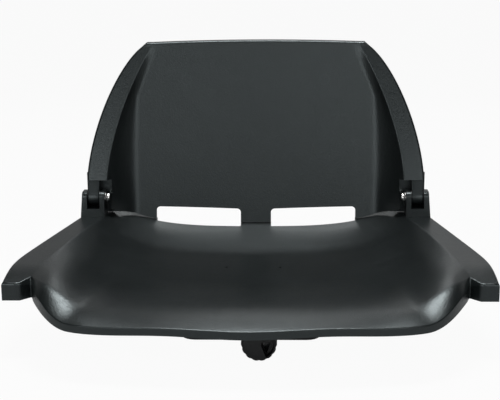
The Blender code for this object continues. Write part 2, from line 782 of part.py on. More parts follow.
def back_slot(side):
    """A slot in the back's lower edge, with round upper corners."""
    top = back_low(SLOT_IN / CREASE_LOW) + SLOT_HEIGHT
    low = FLOOR_Z
    points = []
    for x, angles in ((SLOT_IN + SLOT_CORNER, (90, 180)), (SLOT_OUT - SLOT_CORNER, (0, 90))):
        points += arc((x, top - SLOT_CORNER), SLOT_CORNER, *angles, 4)
    points += [(SLOT_IN, low), (SLOT_OUT, low)]
    depth = (PIN_Y, REAR_Y + PAST)
    return helper("back_slot", hull("back_slot", [(side * x, y, z) for y in depth for x, z in points]))


# Hinge hardware

def hinge_hardware(side, name, seat_hub, back_hub):
    outward = (side, 0, 0)
    head_x = EAR_OUT - BARREL_HEAD - TOUCH
    start = EAR_IN + TOUCH
    length = EAR_OUT - TOUCH - start
    bore = HINGE_BOLT_RADIUS + TOUCH
    turned("hinge_barrel_" + name, [
        (0, length), (BARREL_HEAD_RADIUS, length), (BARREL_HEAD_RADIUS, head_x - start),
        (BARREL_RADIUS, head_x - start), (BARREL_RADIUS, 0), (bore, 0), (bore, BARREL_BORE), (0, BARREL_BORE),
    ], STAINLESS, seat_hub, (side * start, PIN_Y, PIN_Z), outward)
    washer_x = EAR_IN - TOUCH
    turned("hinge_washer_" + name,
           ring_profile(bore, HINGE_WASHER_RADIUS, -HINGE_WASHER_GAUGE, 0),
           STAINLESS, seat_hub, (side * washer_x, PIN_Y, PIN_Z), outward)
    head_end = washer_x - HINGE_WASHER_GAUGE - TOUCH
    head = rod("hinge_bolt_" + name, HINGE_HEAD_RADIUS, (side * (head_end - HINGE_HEAD), PIN_Y, PIN_Z),
               (side * head_end, PIN_Y, PIN_Z), 6)
    bolt = node("hinge_bolt_" + name, head, STAINLESS, seat_hub)
    shank = rod("hinge_shank", HINGE_BOLT_RADIUS, (side * (head_end - HINGE_HEAD / 2), PIN_Y, PIN_Z),
                (side * (head_end + HINGE_BOLT_LENGTH), PIN_Y, PIN_Z))
    join(bolt, helper("hinge_shank", shank))
    for place, facing in (("outer", 1), ("inner", -1)):
        face = TONGUE_X + facing * (TONGUE_WIDTH / 2 + TOUCH)
        inner = BARREL_RADIUS + TOUCH
        depth = TONGUE_WIDTH / 2
        turned(f"tongue_bush_{name}_{place}", [
            (BUSH_FLANGE_RADIUS, BUSH_FLANGE), (BUSH_FLANGE_RADIUS, 0), (BUSH_RADIUS, 0),
            (BUSH_RADIUS, -depth), (inner, -depth), (inner, BUSH_FLANGE),
        ], NYLON, back_hub, (side * face, PIN_Y, PIN_Z), (side * facing, 0, 0))


# Swivel

def rounded_plate(name, surface, hub, low, high):
    half, r = BASE_SIDE / 2, BASE_CORNER
    points = []
    for x, y, first in ((half - r, half - r, 0), (r - half, half - r, 90), (r - half, r - half, 180),
                        (half - r, r - half, 270)):
        points += arc((x, y), r, first, first + 90, 5)
    return node(name, hull(name, [(x, y, z) for z in (low, high) for x, y in points]), surface, hub)


def swivel_base(hub):
    base = rounded_plate("swivel_base", PAINTED, hub, 0, PLATE_GAUGE)
    clip_low = PLATE_TOP + PIVOT_WASHER_GAUGE + 2 * TOUCH
    groove_top = clip_low + CLIP_GAUGE + TOUCH
    post_top = groove_top + POST_HEAD
    neck = POST_RADIUS - GROOVE_DEPTH
    drum_in = DRUM_RADIUS - DRUM_WALL
    low = PLATE_GAUGE / 2
    floor = PLATE_GAUGE + DRUM_FLOOR
    drum = turned("drum_and_post", [
        (0, post_top), (POST_RADIUS, post_top), (POST_RADIUS, groove_top), (neck, groove_top),
        (neck, clip_low - TOUCH), (POST_RADIUS, clip_low - TOUCH), (POST_RADIUS, floor),
        (drum_in, floor), (drum_in, DRUM_TOP), (DRUM_RADIUS, DRUM_TOP), (DRUM_RADIUS, low), (0, low),
    ], PAINTED, None, (0, 0, 0), (0, 0, 1), LARGE_SIDES)
    join(base, drum)
    cut(base, *(helper("base_hole", rod("base_hole", BASE_HOLE_RADIUS, (*place, -PAST), (*place, DRUM_TOP)))
                for place in bolt_places()))


def pivot_pieces(hub):
    turned("thrust_ring", ring_profile(DRUM_RADIUS - RING_WIDTH, DRUM_RADIUS, 0, RING_GAUGE), NYLON, hub,
           (0, 0, DRUM_TOP + TOUCH), (0, 0, 1), LARGE_SIDES)
    washer_low = PLATE_TOP + TOUCH
    washer = ring_profile(POST_RADIUS + TOUCH, PIVOT_WASHER_RADIUS, 0, PIVOT_WASHER_GAUGE)
    turned("pivot_washer", washer, NYLON, hub, (0, 0, washer_low), (0, 0, 1), LARGE_SIDES // 2)
    inner = POST_RADIUS - GROOVE_DEPTH + TOUCH
    clip = turned("pivot_clip", ring_profile(inner, inner + CLIP_WIDTH, 0, CLIP_GAUGE), ZINC, hub,
                  (0, 0, washer_low + PIVOT_WASHER_GAUGE + TOUCH), (0, 0, 1), LARGE_SIDES // 2)
    half = CLIP_OPENING / 2
    mouth = block("clip_mouth", (-half, 0, PLATE_LOW),
                  (half, inner + 2 * CLIP_WIDTH, PLATE_TOP + BOSS_RADIUS))
    cut(clip, helper("clip_mouth", mouth))


def swivel_plate(hub):
    plate = rounded_plate("swivel_plate", PAINTED, hub, PLATE_LOW, PLATE_TOP)
    half = LUG_WIDTH / 2
    lug = block("lug", (SCREW_X - half, LUG_Y, SCREW_Z - LUG_BELOW_SCREW),
                (SCREW_X + half, LUG_Y + PLATE_GAUGE, PLATE_LOW + PLATE_GAUGE / 2))
    join(plate, helper("lug", lug))
    low, high = PLATE_LOW - PAST, PLATE_TOP + PAST
    holes = [rod("lug_hole", STUD_RADIUS + HOLE_EASE, along_screw(LUG_Y - PAST), along_screw(LUG_Y + PAST)),
             rod("post_hole", POST_RADIUS + HOLE_EASE, (0, 0, low), (0, 0, high), LARGE_SIDES)]
    for place in bolt_places():
        holes.append(rod("bolt_hole", MOUNT_BOLT_RADIUS + HOLE_EASE, (*place, low), (*place, high)))
    cut(plate, *(helper(hole.name, hole) for hole in holes))


def mount_fasteners(hub):
    insert_top = PAD_Z + TOUCH + INSERT_LENGTH
    for number, place in enumerate(bolt_places(), 1):
        bore = MOUNT_BOLT_RADIUS + TOUCH
        turned(f"seat_insert_{number}", ring_profile(bore, INSERT_RADIUS, 0, INSERT_LENGTH), BRASS, hub,
               (*place, PAD_Z + TOUCH), (0, 0, 1))
        washer_low = PLATE_LOW - TOUCH - MOUNT_WASHER_GAUGE
        washer = ring_profile(bore, MOUNT_WASHER_RADIUS, 0, MOUNT_WASHER_GAUGE)
        turned(f"mount_washer_{number}", washer, ZINC, hub, (*place, washer_low), (0, 0, 1))
        head_top = washer_low - TOUCH
        head = rod(f"mount_bolt_{number}", MOUNT_HEAD_RADIUS, (*place, head_top - MOUNT_HEAD),
                   (*place, head_top), 6)
        bolt = node(f"mount_bolt_{number}", head, ZINC, hub)
        shank = rod("mount_shank", MOUNT_BOLT_RADIUS, (*place, head_top - MOUNT_HEAD / 2),
                    (*place, insert_top - TOUCH))
        join(bolt, helper("mount_shank", shank))


# Knob, screw and brake

def along_screw(y):
    return SCREW_X, y, SCREW_Z


def lug_nut(hub):
    start = LUG_Y + PLATE_GAUGE + TOUCH
    end = start + LUG_NUT_GAUGE
    nut = node("lug_nut", rod("lug_nut", LUG_NUT_RADIUS, along_screw(start), along_screw(end), 6), ZINC, hub)
    bore = rod("nut_bore", STUD_RADIUS + TOUCH, along_screw(start - PAST), along_screw(end + PAST))
    cut(nut, helper("nut_bore", bore))


def brake_shoe(hub):
    half = SHOE_WIDTH / 2
    body = block("brake_shoe", (SCREW_X - half, SHOE_FRONT_Y, SCREW_Z - SHOE_BELOW_SCREW),
                 (SCREW_X + half, -DRUM_RADIUS + SHOE_DEPTH, PLATE_LOW - TOUCH))
    shoe = node("brake_shoe", body, NYLON, hub)
    drum = rod("shoe_face", DRUM_RADIUS + TOUCH, (0, -SHOE_LIFT, 0), (0, -SHOE_LIFT, PLATE_TOP),
               LARGE_SIDES)
    socket = rod("stud_socket", STUD_RADIUS + TOUCH, along_screw(SHOE_FRONT_Y - PAST),
                 along_screw(SHOE_FRONT_Y + SHOE_SOCKET))
    cut(shoe, helper("shoe_face", drum), helper("stud_socket", socket))


def knob_and_stud(hub):
    stud = rod("tension_stud", STUD_RADIUS, along_screw(SHOE_FRONT_Y + SHOE_SOCKET - TOUCH),
               along_screw(-KNOB_REACH - KNOB_BORE + TOUCH))
    node("tension_stud", stud, ZINC, hub)
    r, length, neck = KNOB_RADIUS, KNOB_LENGTH, KNOB_HUB_LENGTH
    knob = turned("tension_knob", [
        (0, length), (r * 0.5, length), (r - 2 * KNOB_EDGE, length - KNOB_EDGE), (r, length - 3 * KNOB_EDGE),
        (r, neck + 2 * KNOB_EDGE), (r - KNOB_EDGE, neck), (KNOB_HUB_RADIUS, neck), (KNOB_HUB_RADIUS, 0),
        (0, 0),
    ], KNOB_PLASTIC, hub, along_screw(-KNOB_REACH), (0, -1, 0), LARGE_SIDES)
    face = -KNOB_REACH - KNOB_LENGTH
    cuts = [rod("knob_bore", STUD_RADIUS + TOUCH, along_screw(PAST - KNOB_REACH),
                along_screw(-KNOB_REACH - KNOB_BORE))]
    reach = KNOB_RADIUS + FLUTE_RADIUS - FLUTE_DEPTH
    for i in range(KNOB_FLUTES):
        angle = 2 * math.pi * (i + 0.5) / KNOB_FLUTES
        x, z = SCREW_X + reach * math.cos(angle), SCREW_Z + reach * math.sin(angle)
        cuts.append(rod("flute", FLUTE_RADIUS, (x, -KNOB_REACH + PAST, z), (x, face - PAST, z), 10))
    outline = [(SCREW_X + POCKET_START, SCREW_Z)]
    outline += arc((SCREW_X, SCREW_Z), POCKET_RADIUS, -POCKET_HALF_ANGLE, POCKET_HALF_ANGLE, 12)
    depth = (face - PAST, face + POCKET_DEPTH)
    cuts.append(hull("finger_pocket", [(x, y, z) for y in depth for x, z in outline]))
    cut(knob, *(helper(item.name, item) for item in cuts))


def main():
    ground = axis_empty("ground", (0, 0, 0))
    swivel = axis_empty("swivel_axis", (0, 0, PLATE_LOW))
    fold = axis_empty("fold_axis", (0, PIN_Y, PIN_Z))
    screw = axis_empty("screw_axis", along_screw(LUG_Y))
    swivel_base(ground)
    pivot_pieces(ground)
    swivel_plate(swivel)
    mount_fasteners(swivel)
    seat_pan(swivel)
    back_shell(fold)
    for side, name in ((-1, "left"), (1, "right")):
        hinge_hardware(side, name, swivel, fold)
    lug_nut(swivel)
    brake_shoe(swivel)
    knob_and_stud(screw)


main()
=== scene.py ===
"""Looks of the folding boat seat: fine moulded shells, satin black plastic, bright hinge bolts and a swivel.

Metres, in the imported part's own frame. The shells repeat the part's forms with a finer grid and round edges.
"""

import math

import bmesh
import bpy
from mathutils import Matrix, Vector


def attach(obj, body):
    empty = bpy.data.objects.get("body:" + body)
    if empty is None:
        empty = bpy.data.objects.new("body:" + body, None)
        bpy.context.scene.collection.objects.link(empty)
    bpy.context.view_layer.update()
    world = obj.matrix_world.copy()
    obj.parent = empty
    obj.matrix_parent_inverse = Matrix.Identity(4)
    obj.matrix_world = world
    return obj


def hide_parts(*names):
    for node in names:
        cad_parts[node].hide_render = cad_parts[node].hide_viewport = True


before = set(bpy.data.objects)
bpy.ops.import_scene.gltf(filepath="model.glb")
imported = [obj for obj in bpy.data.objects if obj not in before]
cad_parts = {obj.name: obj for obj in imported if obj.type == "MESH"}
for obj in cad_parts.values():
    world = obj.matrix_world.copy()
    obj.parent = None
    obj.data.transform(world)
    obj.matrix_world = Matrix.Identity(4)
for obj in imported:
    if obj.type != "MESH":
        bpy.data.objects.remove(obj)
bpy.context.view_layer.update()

# The plastic's look; the round ejector marks on the back stand at x left and right, and at z, each with a
# painted highlight on its rim
PLASTIC_ROUGH, PLASTIC_SHINE, PLASTIC_SHEEN = 0.35, 0.7, (0.86, 0.98, 1, 1)
MARK_RADIUS, BACK_MARK_HIGHLIGHTS = 0.0062, ((0.089, 0.257), (0.132, 0.175))

# Levels that the shells share with the swivel and the hinges
TOUCH = 0.0003  # between faces that bear on each other
PAD_Z = 0.0363
PIN_Y, PIN_Z = 0.131, 0.1153
BOLT_SPACING = 0.127

# Seat pan in plan
HALF_WIDTH = 0.260
LIP_Y, LIP_BOW = -0.207, 0.016
CORNER_X, CORNER_SHARE, CORNER_PULL = 0.159, 0.62, 0.74
TIP_Y, TIP_ROUND, TIP_NOTCH, TIP_CUT = -0.122, 0.0025, 0.012, 0.4
REAR_Y, RAIL_REAR_Y = 0.178, 0.168
RAIL_IN_REAR, RAIL_IN_TIP, RAIL_BOW = 0.1768, 0.2315, 0.0065
RAIL_OUT_REAR, RAIL_OUT_SPREAD = 0.2072, 0.0648
EDGE = 0.003
CREST_INSET = 0.050

# Seat pan in height
PAN_WALL = 0.004
LIP_LOW, LIP_SKIRT, CREST = 0.0097, 0.0075, 0.0095
LIP_TOP, LIP_EDGE_OUT, LIP_EDGE_DOWN = 0.6, 0.03, 0.13
FLOOR_Z, FLOOR_FALL = PAD_Z + 0.0115, 0.002
CREST_Z = PAD_Z + LIP_LOW + LIP_SKIRT + CREST
CREST_Y, CREST_RUN = LIP_Y + CREST_INSET, 0.140
RAMP_END_Y, RAMP_RUN, RAMP_RISE, RAMP_ROUND = 0.168, 0.073, 0.0247, 0.012
RAIL_Z, RAIL_FALL = PAD_Z + 0.0572, 0.0095
NOSE_LENGTH, NOSE_DROP = 0.050, 0.0065
TIP_LOW, RAIL_SKIRT_LOW = 0.0226, 0.030
BOWL_POWER, REAR_POWER, LIP_BLEND = 3.0, 3.8, 4.0
LIP_TURN, LIP_CLIMB, LIP_ARCH = 0.70, 0.24, 0.0026
DRAIN_RADIUS, DRAIN_X, DRAIN_Y = 0.002, 0.032, 0.042

# Under the pan
INSERT_RADIUS, INSERT_LENGTH = 0.0052, 0.0078
BOSS_RADIUS = 0.0105
RIB_GAUGE, RIB_REACH, RIB_FLAT, RIB_END = 0.004, 0.108, 0.077, 0.010

# Hinge
EAR_IN, EAR_GAUGE, EAR_GAP, EAR_DEPTH = 0.1891, 0.006, 0.016, 0.026
EAR_TOP, EAR_FLARE, EAR_ROUND, EAR_ROOT = 0.0085, 0.004, 0.007, 0.043
EAR_OUT, EAR_EDGE = EAR_IN + 2 * EAR_GAUGE + EAR_GAP, 0.0009
SLOT_BELOW_PIN = 0.0125
BARREL_RADIUS, BARREL_HEAD_RADIUS, BARREL_HEAD = 0.0045, 0.0078, 0.0016
BUSH_RADIUS, BUSH_FLANGE = 0.0062, 0.0006
TONGUE_RADIUS, TONGUE_TOP_RADIUS, TONGUE_LENGTH, TONGUE_EDGE = 0.0096, 0.009, 0.034, 0.0008
TONGUE_WIDTH = EAR_GAP - 2 * BUSH_FLANGE - 4 * TOUCH
TONGUE_X = EAR_IN + EAR_GAUGE + EAR_GAP / 2

# Back
BACK_WALL = 0.004
BACK_TOP_Z, BACK_TOP_ARCH = PAD_Z + 0.267, 0.002
BACK_Y, BACK_LEAN, BACK_ARC = 0.165, math.radians(8.0), 0.010
WING_X, WING_LEAST, WING_POWER = 0.1511, 0.012, 1.8
CREASE_LOW, CREASE_TOP, CREASE_POWER = 0.1864, 0.1321, 1.7
FLANGE_WIDTH, FLANGE_TOP_WIDTH, FLANGE_POWER = 0.0228, 0.004, 4.5
FLANGE_AHEAD = 0.0085
FLANGE_Z = PIN_Z + 0.0216
BACK_SKIRT, BACK_EDGE = 0.016, 0.003
STOP_GAP, CORNER_GAP, CORNER_GAP_POWER = 0.0010, 0.0137, 10
WING_TRIM = 0.0075
SLOT_IN, SLOT_OUT, SLOT_HEIGHT, SLOT_CORNER = 0.0196, 0.1287, 0.0185, 0.005
SLOT_RISE, SLOT_FALL = 0.0032, 0.001  # of a slot's upper edge, at its outer and its inner end
LEDGE_Y = 0.1605
WEB_TOP, WEB_STEP = 0.029, 0.0005

# Bolts, each as its head's radius and height, its shank's radius and length
HINGE_BOLT, HINGE_WASHER = (0.0053, 0.004, 0.0025, 0.013), 0.0009
MOUNT_BOLT, MOUNT_HEAD_Z = (0.0058, 0.004, 0.003, 0.0131), 0.031
CHAMFER_START, CHAMFER_RIM = 0.8, 0.94  # shares of a head's height and half width

# Tension knob
SCREW_X, SCREW_Z, STUD_RADIUS = 0.011, 0.0213, 0.004
KNOB_Y, KNOB_RADIUS, KNOB_LENGTH, KNOB_BORE = -0.128, 0.0187, 0.024, 0.0115
KNOB_HUB_RADIUS, KNOB_HUB_LENGTH, KNOB_EDGE = 0.011, 0.005, 0.0016
KNOB_FLUTES, FLUTE_DEPTH = 14, 0.0008
POCKET_DEPTH, POCKET_RADIUS, POCKET_START, POCKET_HALF_ANGLE = 0.010, 0.016, 0.002, 63
POCKET_EDGE = 0.0012

# Fineness of the shells
PAN_COLUMNS, PAN_ROWS = 52, 84
BACK_COLUMNS, BACK_ROWS = 52, 64
RAIL_STEPS, CREASE_STEPS, ROUND_STEPS, SKIRT_STEPS = 3, 6, 10, 4
PAN_CREASE, BACK_CREASE = (0.008, 0.06), (0.007, 0.06)
FLANGE_TURN = 0.5
ROUND_SIDES, TONGUE_TOP_SIDES = 48, 24
RIB_STEPS, EAR_STEPS, SLOT_STEPS, POCKET_STEPS = 48, 10, 12, 24
KNOB_EDGE_STEPS, FLUTE_STEPS = 6, 10
SHARP, PAN_SHARP = 35, 55  # degrees up to which faces are shaded smooth
MERGE = 0.00001  # points closer than this are one
PAST = 0.02  # how far a cutter reaches past what it cuts

# Studio: each lamp's place, target, size and power
LAMPS = {
    "overhead": ((0, 0.2, 1.6), (0, 0.08, 0.08), (0.8, 0.36), 21),
    "front_right": ((0.683, -1.415, 0.645), (0, 0.05, 0.15), (0.8, 0.9), 5.5),
    "front_left": ((-0.683, -1.415, 0.645), (0, 0.05, 0.15), (0.8, 0.9), 6.5),
    "behind_right": ((0.997, 1.474, 0.586), (0, 0.05, 0.12), (1.6, 0.8), 1.6),
    "behind_left": ((-0.997, 1.474, 0.586), (0, 0.05, 0.12), (1.6, 0.8), 1.1),
    "behind": ((0.05, 1.5, 1.2), (0, 0.05, 0.12), (0.7, 0.45), 2.8),
}
FLOOR_SIZE, WORLD_DIM = 24, 0.03

# Camera: sensor and lens in mm, and its turns in degrees: aside, up from straight down, and roll
SENSOR, LENS = 36, 79.2
CAMERA_PLACE, CAMERA_TURNS = (0.038, -1.224, 0.412), (1.87, 77.5, -0.42)


def lerp(a, b, t):
    return a + (b - a) * t


def ease(t):
    t = min(max(t, 0.0), 1.0)
    return t * t * (3 - 2 * t)


def bend(start, corner, end, t):
    """A point on the curve from start to end that sets out for the corner."""
    return start * (1 - t) ** 2 + corner * 2 * t * (1 - t) + end * t**2


# The pan's form

def rail_height(y):
    along = (RAIL_REAR_Y - y) / (RAIL_REAR_Y - TIP_Y)
    nose = max(0.0, (TIP_Y + NOSE_LENGTH - y) / NOSE_LENGTH)
    return RAIL_Z - RAIL_FALL * along - NOSE_DROP * nose**2


def rail_y(v):
    return lerp(RAIL_REAR_Y, TIP_Y + EDGE, v)


def rail_point(v, across):
    """A point of the rail's top: v from the rear to the wing tip, across from the inner to the outer edge."""
    inner = lerp(RAIL_IN_REAR, RAIL_IN_TIP, v) + RAIL_BOW * 4 * v * (1 - v)
    straight, side = RAIL_OUT_REAR + RAIL_OUT_SPREAD * v, HALF_WIDTH - EDGE + TIP_ROUND / 2
    outer = (straight + side) / 2 - math.hypot((straight - side) / 2, TIP_ROUND)
    y = rail_y(v) + TIP_NOTCH * v * max(0.0, 1 - across / TIP_CUT)
    return Vector((lerp(inner, outer, across), y, rail_height(y)))


def lip_outline(u):
    """Plan of the lip's outer face, from the middle of the front round the corner to the wing tip."""
    if u <= CORNER_SHARE:
        x = CORNER_X * u / CORNER_SHARE
        return Vector((x, LIP_Y + LIP_BOW * (x / CORNER_X) ** 2))
    t = (u - CORNER_SHARE) / (1 - CORNER_SHARE)
    start = Vector((CORNER_X, LIP_Y + LIP_BOW))
    pull = CORNER_PULL * (RAIL_IN_TIP - CORNER_X)
    corner = start + Vector((pull, pull * 2 * LIP_BOW / CORNER_X))
    return bend(start, corner, Vector((RAIL_IN_TIP, TIP_Y + TIP_NOTCH)), t)


def lip_crest(u):
    """Plan of the lip's crest, which runs inside the outline and ends at the rail's inner edge."""
    step = 0.001
    tangent = (lip_outline(min(u + step, 1)) - lip_outline(max(u - step, 0))).normalized()
    fade = u**3
    inset = Vector((-tangent.y, tangent.x)) * CREST_INSET * (1 - fade)
    place = lip_outline(u) + inset + Vector((0, EDGE * fade))
    return Vector((0 if u == 0 else place.x, place.y))


def pan_rear(u):
    return Vector((RAIL_IN_REAR * u, REAR_Y - (REAR_Y - RAIL_REAR_Y) * u**2))


def floor_height(y):
    past = min(y, RAMP_END_Y) - (RAMP_END_Y - RAMP_RUN)
    ramp = RAMP_RISE / RAMP_RUN * (past + math.hypot(past, RAMP_ROUND)) / 2
    crest = ease(1 - (y - CREST_Y) / CREST_RUN)
    low = FLOOR_Z + FLOOR_FALL * (REAR_Y - y) / (REAR_Y - CREST_Y)
    return low + ramp + (CREST_Z - FLOOR_Z - FLOOR_FALL) * crest


def lip_climb(u):
    return ease((u - LIP_TURN) / LIP_CLIMB)


def bowl_rise(u, v):
    """Share of the way up from the floor to the rail."""
    bowl = u ** lerp(BOWL_POWER, REAR_POWER, (1 - v) ** 4)
    return lerp(bowl, lip_climb(u), v**LIP_BLEND)


def pan_point(u, v):
    """A point of the bowl: u from the middle to the rail, v from the rear edge to the lip's crest."""
    middle, side = Vector((0, lerp(REAR_Y, CREST_Y, v))), rail_point(v, 0)
    corners = (pan_rear(1) * u * (1 - v) + rail_point(1, 0).xy * u * v
               + Vector((0, REAR_Y)) * (1 - u) * (1 - v) + Vector((0, CREST_Y)) * (1 - u) * v)
    plan = middle * (1 - u) + side.xy * u + pan_rear(u) * (1 - v) + lip_crest(u) * v - corners
    low = floor_height(middle.y)
    return Vector((plan.x, plan.y, lerp(low, side.z, bowl_rise(u, v))))


def pan_height(x, y):
    """Height of the bowl's upper face at a place in plan."""
    u, v = x / RAIL_IN_TIP, (REAR_Y - y) / (REAR_Y - CREST_Y)
    for _ in range(20):
        found = pan_point(min(max(u, 0), 1), min(max(v, 0), 1))
        u += (x - found.x) / RAIL_IN_TIP
        v -= (y - found.y) / (REAR_Y - CREST_Y)
    return pan_point(min(max(u, 0), 1), min(max(v, 0), 1)).z


def lip_arch(u):
    """The lip's edge stands higher left and right of its middle."""
    return LIP_ARCH * (1 - math.cos(2 * math.pi * min(u / CORNER_SHARE, 1))) / 2


def quarter(share):
    """Way out and way down along a round edge, each from 0 to 1."""
    angle = share * math.pi / 2
    return math.sin(angle), 1 - math.cos(angle)


def lip_roll(share):
    """Way out and way down over the lip, each from 0 to 1: a bowed top, then a round edge."""
    reach, drop = 1 - LIP_EDGE_OUT, 1 - LIP_EDGE_DOWN
    along = share / LIP_TOP
    if along <= 1:
        return Vector((reach * along, drop * along**2))
    corner = Vector((1, drop + 2 * drop * LIP_EDGE_OUT / reach))
    return bend(Vector((reach, drop)), corner, Vector((1, 1)), (share - LIP_TOP) / (1 - LIP_TOP))


def lip_point(u, row):
    """Over the lip's roll for rows 1 to 2, then down its skirt to row 3."""
    crest, arch = pan_point(u, 1), lip_arch(u)
    side, down = lip_roll(min(row - 1, 1))
    place = crest.xy.lerp(lip_outline(u), side)
    top = crest.z - (CREST - arch) * down
    low = PAD_Z + lerp(LIP_LOW, TIP_LOW, lip_climb(u)) + arch
    return Vector((place.x, place.y, lerp(top, low, max(row - 2, 0))))


def rail_edge_point(v, turn, across):
    """Over the rail's round edge for turns 0 to 1, then down its skirt to turn 2."""
    place = rail_point(v, across)
    side, down = quarter(min(turn, 1))
    low = PAD_Z + lerp(RAIL_SKIRT_LOW, TIP_LOW, v)
    place.x += EDGE * side if across == 1 else 0
    place.y -= EDGE * side if v == 1 else 0
    place.z = lerp(place.z - EDGE * down, low, max(turn - 1, 0))
    return place


def pan_sheet_point(column, row):
    """A column is a share of the bowl up to 1, then the rail's top, round edge and skirt; a row likewise."""
    u, v = min(column, 1), min(row, 1)
    turn = max(column - 2, row - 1, 0)
    if column <= 1:
        return pan_point(u, v) if row <= 1 else lip_point(u, row)
    across = min(column - 1, 1)
    if row <= 1:
        return rail_edge_point(v, turn, across)
    share = min(across / TIP_CUT, 1)
    return lip_point(1, row).lerp(rail_edge_point(v, turn, max(across, TIP_CUT)), share)


# The back's form

def main_depth(x, z):
    """Depth of the back's main face, curved about the sitter."""
    return BACK_Y + math.tan(BACK_LEAN) * (z - FLOOR_Z) - BACK_ARC * (x / WING_X) ** 2


def crease_x(z):
    share = min(max((z - FLANGE_Z) / (BACK_TOP_Z - FLANGE_Z), 0), 1)
    return CREASE_LOW - (CREASE_LOW - CREASE_TOP) * share**CREASE_POWER


def flange_depth(z):
    """Depth of the side flanges' face: ahead of the pin below, level with the main face at the top."""
    low = PIN_Y - FLANGE_AHEAD
    return lerp(low, main_depth(CREASE_TOP, BACK_TOP_Z), (z - PIN_Z) / (BACK_TOP_Z - PIN_Z))


def back_depth(x, z):
    crease = crease_x(z)
    start = min(WING_X, crease - WING_LEAST)
    share = max(0.0, (x - start) / (crease - start))
    forward = max(0.0, main_depth(crease, z) - flange_depth(z))
    return main_depth(x, z) - forward * share**WING_POWER


def back_low(u):
    """Height of the back's lower edge, just above the pan."""
    x, z = CREASE_LOW * u, FLOOR_Z + RAMP_RISE
    for _ in range(8):
        y = back_depth(x, z)
        under = max(pan_height(x, y), pan_height(x, y + BACK_WALL))
        z = under + STOP_GAP + CORNER_GAP * u**CORNER_GAP_POWER
    return z


LOW_AT = {}  # heights of the back's lower edge that are already found, by u


def back_point(u, v):
    """A point of the back's face: u from the middle to the crease, v from the lower edge to the top."""
    if u not in LOW_AT:
        LOW_AT[u] = back_low(u)
    z = lerp(LOW_AT[u], BACK_TOP_Z - BACK_TOP_ARCH * u**2, v)
    x = u * crease_x(z)
    return Vector((x, back_depth(x, z), z))


def flange_point(v):
    crease = back_point(1, v)
    share = min(max((crease.z - FLANGE_Z) / (BACK_TOP_Z - BACK_TOP_ARCH - FLANGE_Z), 0), 1)
    width = FLANGE_TOP_WIDTH + (FLANGE_WIDTH - FLANGE_TOP_WIDTH) * math.sqrt(max(0, 1 - share**FLANGE_POWER))
    return crease + Vector((width, 0, 0))


def back_edge_point(place, turn, out, up):
    """Over the back's round edge for turns 0 to 1, then along its skirt for turns 1 to 2."""
    side, down = quarter(min(turn, 1))
    depth = BACK_EDGE * down + (BACK_SKIRT - BACK_EDGE) * max(turn - 1, 0)
    return place + Vector((BACK_EDGE * side * out, depth, BACK_EDGE * side * up))


def back_sheet_point(column, row):
    u, v = min(column, 1), min(row, 1)
    turn = max(column - 2, row - 1, 0)
    up = 1 if v == 1 else 0
    inner = back_edge_point(back_point(u, v), max(row - 1, 0), 0, up)
    if column <= 1:
        return inner
    outer = back_edge_point(flange_point(v), turn, 1, up)
    return inner.lerp(outer, min(column - 1, 1))


# Modelling

def mesh_of(name, bm):
    bmesh.ops.recalc_face_normals(bm, faces=bm.faces)
    mesh = bpy.data.meshes.new(name)
    bm.to_mesh(mesh)
    bm.free()
    return mesh


def placed(name, mesh):
    made = bpy.data.objects.new(name, mesh)
    bpy.context.scene.collection.objects.link(made)
    return made


def rod(name, radius, start, end):
    start, end = Vector(start), Vector(end)
    along = end - start
    turn = along.to_track_quat("Z", "X").to_matrix().to_4x4()
    bm = bmesh.new()
    bmesh.ops.create_cone(
        bm, cap_ends=True, segments=ROUND_SIDES, radius1=radius, radius2=radius, depth=along.length,
        matrix=Matrix.Translation((start + end) / 2) @ turn,
    )
    return mesh_of(name, bm)


def hull(name, points, edge=0.0):
    """A convex solid round the points; edge rounds off what is sharp."""
    bm = bmesh.new()
    for point in points:
        bm.verts.new(point)
    found = bmesh.ops.convex_hull(bm, input=bm.verts)
    inside = [item for item in found["geom_interior"] if isinstance(item, bmesh.types.BMVert)]
    bmesh.ops.delete(bm, geom=inside, context="VERTS")
    if edge:
        bmesh.ops.dissolve_limit(bm, angle_limit=math.radians(1), verts=bm.verts, edges=bm.edges)
        sharp = [e for e in bm.edges if e.calc_face_angle(0) > math.radians(40)]
        bmesh.ops.bevel(bm, geom=sharp, offset=edge, segments=3, profile=0.5, affect="EDGES",
                        clamp_overlap=True)
    return mesh_of(name, bm)


def block(name, low, high):
    corners = [(x, y, z) for x in (low[0], high[0]) for y in (low[1], high[1]) for z in (low[2], high[2])]
    return hull(name, corners)


def arc(centre, radius, first, last, steps):
    """Points on an arc in a plane, angles in degrees from its first axis towards its second."""
    angles = [math.radians(lerp(first, last, i / steps)) for i in range(steps + 1)]
    return [(centre[0] + radius * math.cos(a), centre[1] + radius * math.sin(a)) for a in angles]


def circle(centre, radius, sides):
    return arc(centre, radius, 0, 360 * (sides - 1) / sides, sides - 1)


def sheet(name, columns, rows, left_out, point):
    """An open sheet: a grid with its corners at point(column, row), less the cells that left_out names."""
    across, along = len(columns) - 1, len(rows) - 1
    bm = bmesh.new()
    bmesh.ops.create_grid(bm, x_segments=across, y_segments=along, size=1.0)

    def cell(place):
        return (place.x + 1) / 2 * across, (place.y + 1) / 2 * along

    dropped = [f for f in bm.faces if left_out(*map(int, cell(f.calc_center_median())))]
    bmesh.ops.delete(bm, geom=dropped, context="FACES")
    for vert in bm.verts:
        column, row = cell(vert.co)
        vert.co = point(columns[round(column)], rows[round(row)])
    bmesh.ops.remove_doubles(bm, verts=bm.verts, dist=MERGE)
    mesh = bpy.data.meshes.new(name)
    bm.to_mesh(mesh)
    bm.free()
    return mesh


def steps(first, last, count):
    return [lerp(first, last, (i + 1) / count) for i in range(count)]


